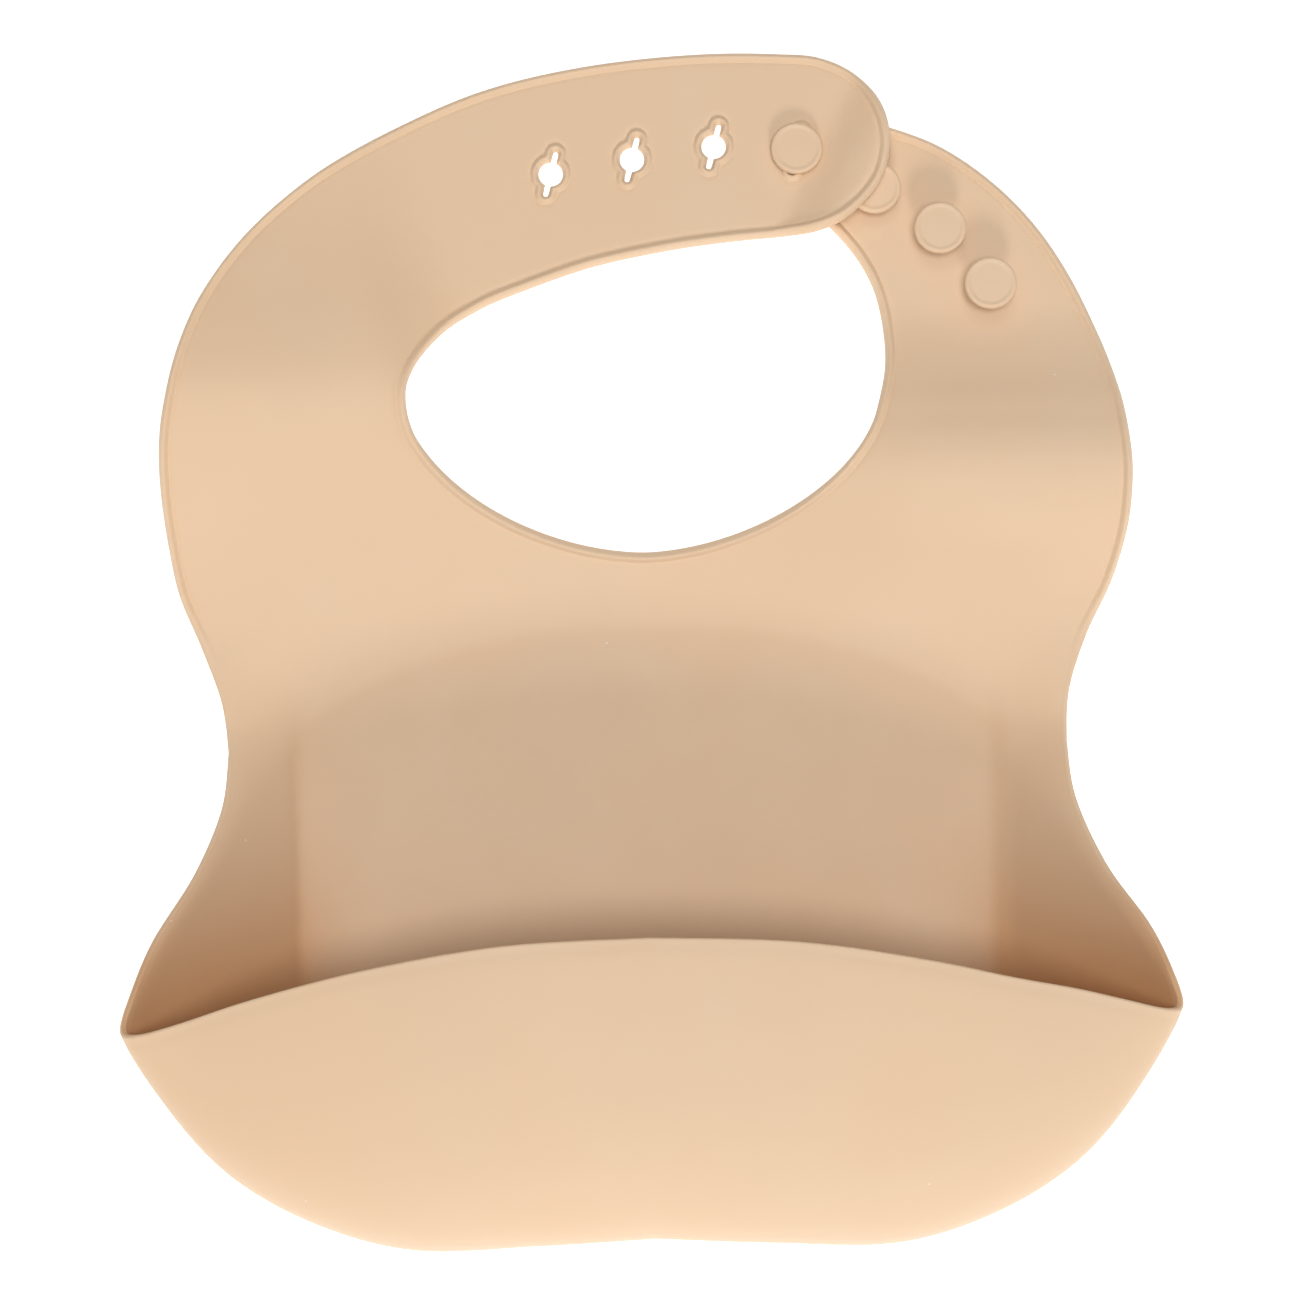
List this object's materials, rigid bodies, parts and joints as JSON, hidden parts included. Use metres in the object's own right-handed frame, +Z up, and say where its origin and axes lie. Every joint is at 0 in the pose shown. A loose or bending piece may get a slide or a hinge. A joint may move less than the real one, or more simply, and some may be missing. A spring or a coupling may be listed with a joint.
{
  "type": "silicone baby bib",
  "caption": "Soft one-piece bib with a scoop pocket and a neck strap closed by studs in buttonholes, drawn fastened.",
  "frame": {"origin": "middle of the neck opening, in the middle plane of the pocket's flat back plate", "axes": "+Z up towards the neck fastening, -Y is the front that faces away from the wearer, X runs across"},
  "size_m": [0.2322, 0.0492, 0.2698],
  "materials": {
    "silicone": "matte, softly sheened food-grade silicone in sand beige",
    "stud_silicone": "the same silicone, slightly smoother on the stud heads"
  },
  "bodies": {
    "panel": {"bib_panel": "silicone"},
    "pocket": {"catch_pocket": "silicone"},
    "left_strap": {"hole_strap": "silicone"},
    "tab": {"strap_tab": "silicone"},
    "right_strap": {"button_strap": "silicone", "button_stud_1": "stud_silicone", "button_stud_2": "stud_silicone", "button_stud_3": "stud_silicone", "button_stud_4": "stud_silicone"}
  },
  "joints": [
    {"name": "pocket_flex", "type": "hinge", "parent": "panel", "child": "pocket", "pos_m": [0, 0, -0.18], "axis": [1, 0, 0], "range_deg": [-20, 20], "stiffness_Nm_per_rad": 0.6},
    {"name": "left_shoulder_fold", "type": "hinge", "parent": "panel", "child": "left_strap", "pos_m": [0, -0.01, 0], "axis": [-1, 0, 0], "range_deg": [-20, 80], "stiffness_Nm_per_rad": 0.3},
    {"name": "right_shoulder_fold", "type": "hinge", "parent": "panel", "child": "right_strap", "pos_m": [0, -0.01, 0], "axis": [-1, 0, 0], "range_deg": [-20, 80], "stiffness_Nm_per_rad": 0.3},
    {"name": "tab_lift", "type": "hinge", "parent": "left_strap", "child": "tab", "pos_m": [-0.03725, -0.00586, 0.0454], "axis": [0.309, -0.0946, -0.9463], "range_deg": [0, 60], "stiffness_Nm_per_rad": 0.05, "deforming": ["button_stud_1"]}
  ],
  "couplings": [
    {"joint": "right_shoulder_fold", "follows": "left_shoulder_fold", "ratio": 1}
  ]
}
